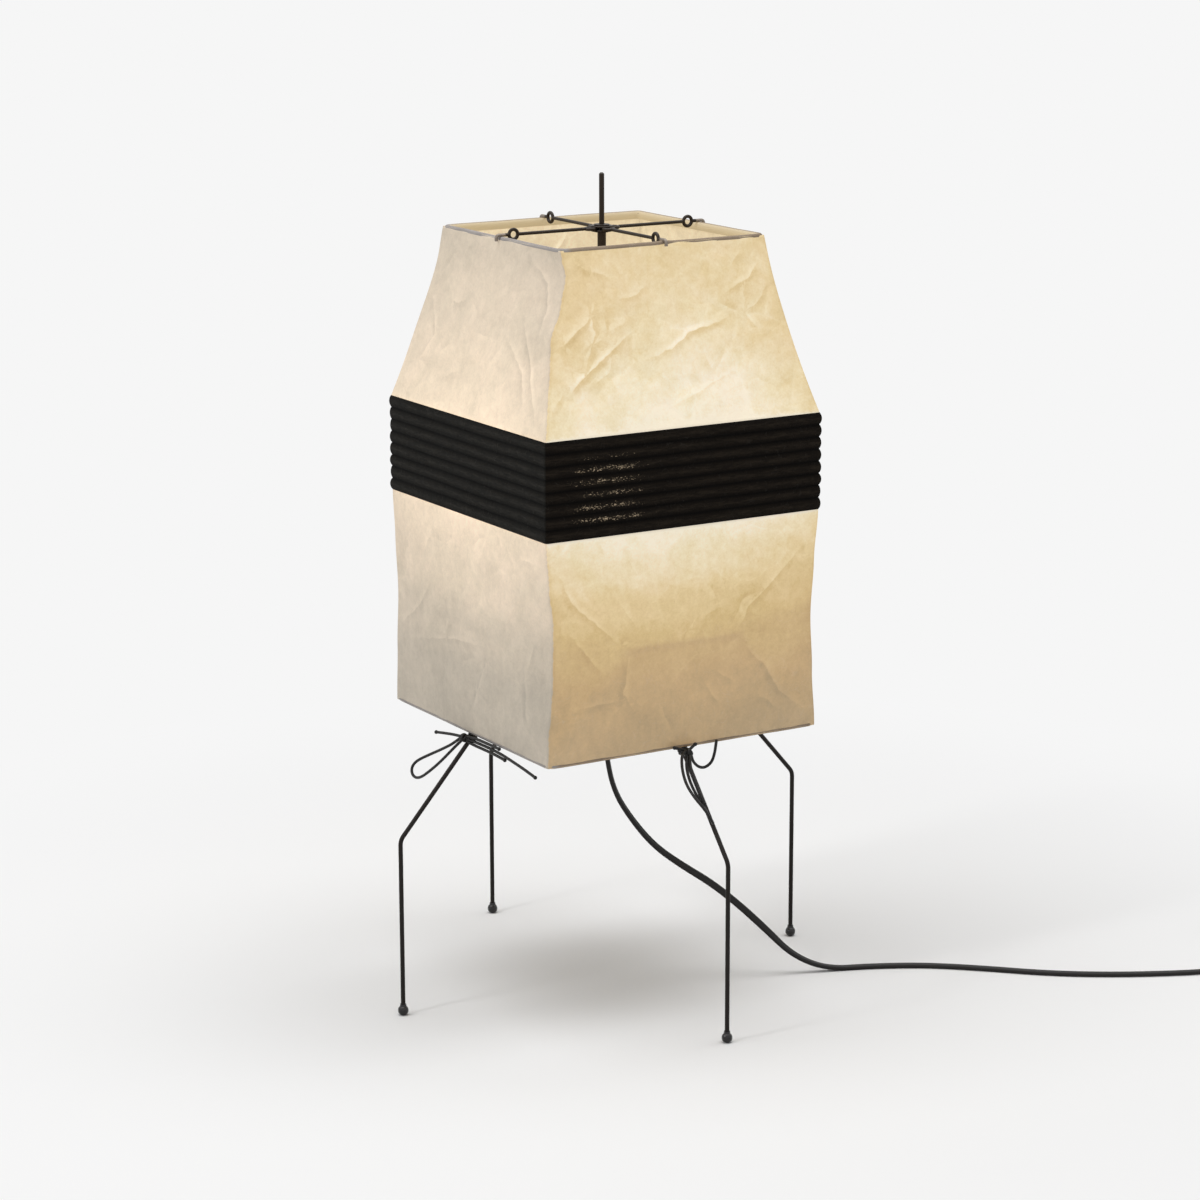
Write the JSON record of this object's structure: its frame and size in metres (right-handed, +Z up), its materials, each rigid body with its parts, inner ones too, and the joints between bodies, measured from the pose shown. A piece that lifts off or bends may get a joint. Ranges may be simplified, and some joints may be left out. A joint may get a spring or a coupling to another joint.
{
  "type": "andon floor lamp",
  "caption": "Square paper lantern lamp with a ribbed dark band, on a wire stand with bead feet, tied at its lower frame, with a spider and pin on top and a mains cord.",
  "frame": {"origin": "on the floor under the lamp's upright axis, in the middle between the four feet", "axes": "+Z up; the four legs stand on +X, -X, +Y and -Y, and the shade's flat sides face the same four ways"},
  "size_m": [0.7911, 0.4419, 0.6417],
  "materials": {
    "black_wire": "satin black lacquer over steel wire",
    "gloss_bead": "gloss black",
    "dark_metal": "dark bronze-black lacquer, slightly worn",
    "nickel": "nickel plated",
    "black_plastic": "fine moulded grain",
    "porcelain": "glazed ceramic",
    "brass": "plain brass",
    "frame_wire": "grey-brown coated wire",
    "rib": "split bamboo",
    "cream_paper": "handmade mulberry paper, lit from inside, fibres and creases",
    "black_paper": "black dyed paper pressed over ribs",
    "tie_cord": "waxed black cord",
    "mains_cord": "satin black twin flex",
    "opal_glass": "opal glass, lit"
  },
  "bodies": {
    "stand": {"leg_left": "black_wire", "leg_back": "black_wire", "leg_front": "black_wire", "leg_right": "black_wire", "foot_left": "gloss_bead", "foot_back": "gloss_bead", "foot_front": "gloss_bead", "foot_right": "gloss_bead", "stand_hub": "dark_metal", "threaded_nipple": "nickel", "nipple_nut": "dark_metal", "cord_relief": "black_plastic", "holder_cap": "black_plastic", "holder_insert": "porcelain", "holder_sleeve": "black_plastic", "screw_shell": "nickel", "centre_contact": "brass", "harp_rod_front": "dark_metal", "harp_rod_back": "dark_metal", "harp_saddle": "dark_metal", "mast_tube": "dark_metal", "mast_pin": "dark_metal", "tie_wrap_left": "tie_cord", "tie_wrap_back": "tie_cord", "tie_wrap_front": "tie_cord", "tie_wrap_right": "tie_cord", "cord_run": "mains_cord", "cord_lead": "mains_cord", "cord_coil": "mains_cord", "plug_lead": "mains_cord", "coil_strap": "tie_cord", "plug_body": "black_plastic", "plug_blades": "brass", "switch_base": "black_plastic", "switch_cover": "black_plastic", "switch_screw_near": "nickel", "switch_screw_far": "nickel"},
    "shade": {"frame_top": "frame_wire", "frame_band_top": "frame_wire", "frame_band_bottom": "frame_wire", "frame_bottom": "frame_wire", "band_ribs": "rib", "paper_upper": "cream_paper", "paper_band": "black_paper", "paper_lower": "cream_paper", "tie_bow_left": "tie_cord", "tie_bow_back": "tie_cord", "tie_bow_front": "tie_cord", "tie_bow_right": "tie_cord"},
    "spider": {"spider_hub": "dark_metal", "spider_collar": "dark_metal", "spider_arm_left": "dark_metal", "spider_arm_back": "dark_metal", "spider_arm_front": "dark_metal", "spider_arm_right": "dark_metal"},
    "bulb": {"bulb_glass": "opal_glass", "bulb_cap": "nickel", "bulb_insulator": "porcelain", "bulb_contact": "brass"},
    "rocker": {"switch_rocker": "black_plastic"}
  },
  "joints": [
    {"name": "shade_lift", "type": "slide", "parent": "stand", "child": "shade", "axis": [0, 0, 1], "range_m": [0, 0.43]},
    {"name": "spider_lift", "type": "slide", "parent": "shade", "child": "spider", "axis": [0, 0, 1], "range_m": [0, 0.06]},
    {"name": "bulb_turn", "type": "hinge", "parent": "stand", "child": "bulb", "pos_m": [0, 0, 0.391], "axis": [0, 0, 1], "range_deg": [0, 1800]},
    {"name": "switch_rock", "type": "hinge", "parent": "stand", "child": "rocker", "pos_m": [0.50421, -0.18642, 0.009], "axis": [0.8561, -0.5168, 0], "range_deg": [0, 14]}
  ]
}
